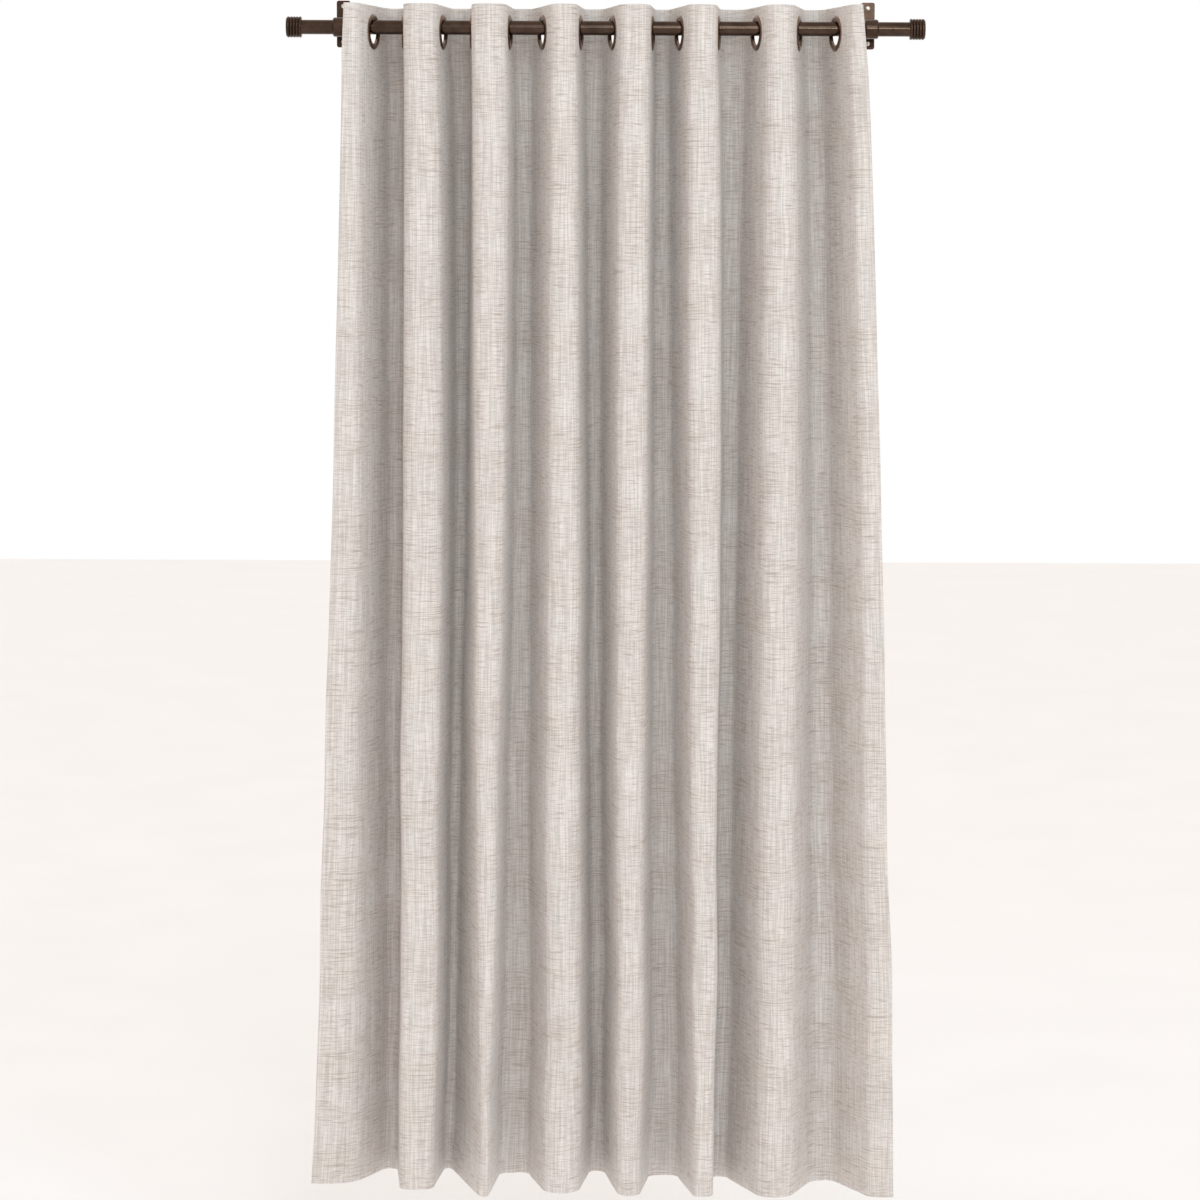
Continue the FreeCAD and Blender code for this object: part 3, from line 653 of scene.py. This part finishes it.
def lining_material():
    """Plain closely woven lining, off-white."""
    m = Material("lining_cloth")
    flat = m.add("UVMap", uv_map="cloth").outputs[0]
    weft = m.noise(flat, (30.0, 500.0, 1.0), 2.0, 0.6, dimensions="2D")
    warp = m.noise(flat, (420.0, 12.0, 1.0), 2.0, 0.6, dimensions="2D")
    crush = m.noise(flat, (6.0, 3.0, 1.0), 3.0, 0.6, dimensions="2D")
    tone = m.math("MULTIPLY", m.band(weft, 0.3, 0.7, 1.0, 0.95), m.band(warp, 0.3, 0.7, 1.0, 0.96))
    base = m.mix(crush, colour(0.74, 0.72, 0.68), colour(0.70, 0.68, 0.64))
    height = m.math("MULTIPLY", weave_height(m, flat), 0.3)
    height = m.math("ADD", height, m.math("MULTIPLY", crush, 2.0))
    return m.surface({
        "Base Color": m.shade(base, tone),
        "Roughness": m.band(weft, 0.3, 0.7, 0.62, 0.75),
        "Specular IOR Level": 0.3,
        "Sheen Weight": 0.08,
        "Sheen Roughness": 0.4,
        "Normal": m.bump(height, 0.25, 0.0006),
    })


def bronze_material(name, dark, light, worn):
    """Oil-rubbed bronze: mottled, finely scratched along the rod, lighter on worn edges."""
    m = Material(name)
    place = m.add("TexCoord").outputs["Object"]
    mottle = m.noise(place, (45.0, 45.0, 45.0), 4.0, 0.6)
    scratches = m.noise(place, (14.0, 900.0, 900.0), 2.0, 0.6)
    geometry = m.add("NewGeometry")
    rounded = m.add("Bevel", {"Radius": 0.0009}, samples=4)
    match = m.add("VectorMath", {0: rounded.outputs[0], 1: geometry.outputs["Normal"]},
                  operation="DOT_PRODUCT")
    edge = m.band(match.outputs["Value"], 0.985, 0.90)
    edge = m.math("MULTIPLY", edge, m.band(mottle, 0.35, 0.6))
    base = m.mix(m.band(mottle, 0.3, 0.7), dark, light)
    base = m.mix(m.math("MULTIPLY", m.band(scratches, 0.58, 0.72), 0.07), base, worn)
    base = m.mix(edge, base, worn)
    return m.surface({
        "Base Color": base,
        "Metallic": 1.0,
        "Roughness": m.band(mottle, 0.3, 0.7, 0.17, 0.21),
        "Normal": m.bump(scratches, 0.01, 0.0002),
    })


def steel_material(name, tone, roughness):
    """Finely brushed steel with faint stains."""
    m = Material(name)
    place = m.add("TexCoord").outputs["Object"]
    brush = m.noise(place, (2200.0, 150.0, 2200.0), 2.0, 0.6)
    stain = m.noise(place, (300.0, 300.0, 300.0), 2.0, 0.6)
    base = m.mix(m.band(stain, 0.35, 0.7), colour(tone, tone, tone * 0.97),
                 colour(tone * 0.8, tone * 0.79, tone * 0.75))
    return m.surface({
        "Base Color": base,
        "Metallic": 1.0,
        "Roughness": m.band(brush, 0.3, 0.7, roughness * 0.8, roughness * 1.2),
        "Normal": m.bump(brush, 0.05, 0.0002),
    })


def plastic_material():
    """Black plastic with a fine moulded grain."""
    m = Material("black_moulded_plastic")
    place = m.add("TexCoord").outputs["Object"]
    grain = m.noise(place, (1500.0, 1500.0, 1500.0), 2.0, 0.6)
    base = m.mix(m.band(grain, 0.3, 0.7), colour(0.018, 0.018, 0.018), colour(0.028, 0.028, 0.028))
    return m.surface({
        "Base Color": base,
        "Roughness": m.band(grain, 0.3, 0.7, 0.5, 0.6),
        "Normal": m.bump(grain, 0.2, 0.0002),
    })


def floor_material():
    """A plain pale floor that glows a little, so that it stays close to the white around it."""
    m = Material("pale_floor")
    place = m.add("TexCoord").outputs["Object"]
    grain = m.noise(place, (3.0, 3.0, 3.0), 3.0, 0.5)
    base = m.mix(m.band(grain, 0.3, 0.7), colour(0.79, 0.795, 0.81), colour(0.81, 0.815, 0.83))
    return m.surface({
        "Base Color": base,
        "Roughness": 0.9,
        "Emission Color": colour(1, 1, 1),
        "Emission Strength": 0.19,
    })


def finish_cad_nodes():
    """The metal and plastic pieces keep their CAD shapes and get finished materials."""
    finishes = {
        "bronze_metal": bronze_material("oil_rubbed_bronze", colour(0.052, 0.033, 0.024),
                                        colour(0.078, 0.050, 0.037), colour(0.20, 0.135, 0.095)),
        "eyelet_metal": bronze_material("eyelet_bronze", colour(0.160, 0.104, 0.076),
                                        colour(0.235, 0.155, 0.113), colour(0.45, 0.32, 0.24)),
        "screw_steel": steel_material("bright_screw_steel", 0.72, 0.28),
        "dark_steel": steel_material("black_oxide_steel", 0.12, 0.45),
        "plug_plastic": plastic_material(),
    }
    slots = {part["node"]: part["material_slot"] for part in frame["record"]["subparts"]}
    for name, node in frame["nodes"].items():
        if slots[name] in finishes:
            node.data.materials.clear()
            node.data.materials.append(finishes[slots[name]])


# ---------- Stage, light and camera ----------

FLOOR_Z = TOP_Z - DROP - 0.22  # a little below the hem
FLOOR_REACH = 14.0  # from the middle to each side
WORLD_TINT = colour(1.0, 0.925, 0.865)
WORLD_STRENGTH = 0.93
SOFTBOX_SIZE = (1.0, 1.6)
SOFTBOX_TINT = (0.60, 0.88, 1.0)
CAMERA_PLACE = (-0.0060, -6.088, -0.3763)
CAMERA_LENS = 100.4
CAMERA_DIP = 6.21  # degrees it looks down
CAMERA_ROLL = 0.23  # degrees


def make_floor():
    mesh = bpy.data.meshes.new("floor")
    sides = ((-1, -1), (1, -1), (1, 1), (-1, 1))
    corners = [(x * FLOOR_REACH, y * FLOOR_REACH, FLOOR_Z) for x, y in sides]
    mesh.from_pydata(corners, [], [(0, 1, 2, 3)])
    mesh.materials.append(floor_material())
    floor = bpy.data.objects.new("floor", mesh)
    bpy.context.collection.objects.link(floor)


def make_light(name, place, target, size, watts, tint):
    """A soft rectangular lamp. Its size is (across, up)."""
    light = bpy.data.lights.new(name, "AREA")
    light.shape = "RECTANGLE"
    light.size, light.size_y = size
    light.energy = watts
    light.color = tint
    lamp = bpy.data.objects.new(name, light)
    lamp.location = place
    lamp.rotation_euler = (Vector(target) - Vector(place)).to_track_quat("-Z", "Y").to_euler()
    bpy.context.collection.objects.link(lamp)


def make_world():
    """A white studio: pure white to the camera, warmer and dimmer as light on the object."""
    world = bpy.data.worlds.new("studio")
    bpy.context.scene.world = world
    world.use_nodes = True
    tree = world.node_tree
    seen = tree.nodes["Background"]
    seen.inputs["Color"].default_value = (1, 1, 1, 1)
    seen.inputs["Strength"].default_value = 1.0
    lit = tree.nodes.new("ShaderNodeBackground")
    lit.inputs["Color"].default_value = WORLD_TINT
    lit.inputs["Strength"].default_value = WORLD_STRENGTH
    path = tree.nodes.new("ShaderNodeLightPath")
    mix = tree.nodes.new("ShaderNodeMixShader")
    tree.links.new(path.outputs["Is Camera Ray"], mix.inputs[0])
    tree.links.new(lit.outputs[0], mix.inputs[1])
    tree.links.new(seen.outputs[0], mix.inputs[2])
    tree.links.new(mix.outputs[0], tree.nodes["World Output"].inputs["Surface"])


def make_studio():
    """Soft even light, two softboxes high in front, and a strip for the bright line on the rod."""
    make_world()
    bpy.context.scene.view_settings.view_transform = "Standard"
    middle = (0, ROD_Y, TOP_Z - DROP / 2)
    rod = (0, ROD_Y, RING_Z)
    make_light("front_softbox", (0.4, -5.2, 2.9), middle, SOFTBOX_SIZE, 29, SOFTBOX_TINT)
    make_light("key_softbox", (2.5, -4.7, 2.9), middle, SOFTBOX_SIZE, 33, SOFTBOX_TINT)
    make_light("rod_strip", (0.75, -5.5, 0.85), rod, (1.5, 0.08), 36, (0.90, 0.95, 1.0))


def make_camera():
    """Nearly square on to the panel and a little above its middle."""
    data = bpy.data.cameras.new("camera")
    data.lens = CAMERA_LENS
    camera = bpy.data.objects.new("camera", data)
    bpy.context.collection.objects.link(camera)
    pitch = math.radians(90 - CAMERA_DIP)
    roll = math.radians(CAMERA_ROLL)
    turn = Matrix.Rotation(pitch, 4, "X") @ Matrix.Rotation(roll, 4, "Z")
    camera.matrix_world = Matrix.Translation(CAMERA_PLACE) @ turn
    bpy.context.scene.camera = camera


face = hang(make_face(linen_material()), *FOLD_NODES)
lining = hang(make_lining(lining_material()))
stitches = [hang(piece) for piece in make_all_stitches(thread_material())]
finish_cad_nodes()
make_floor()
make_studio()
make_camera()
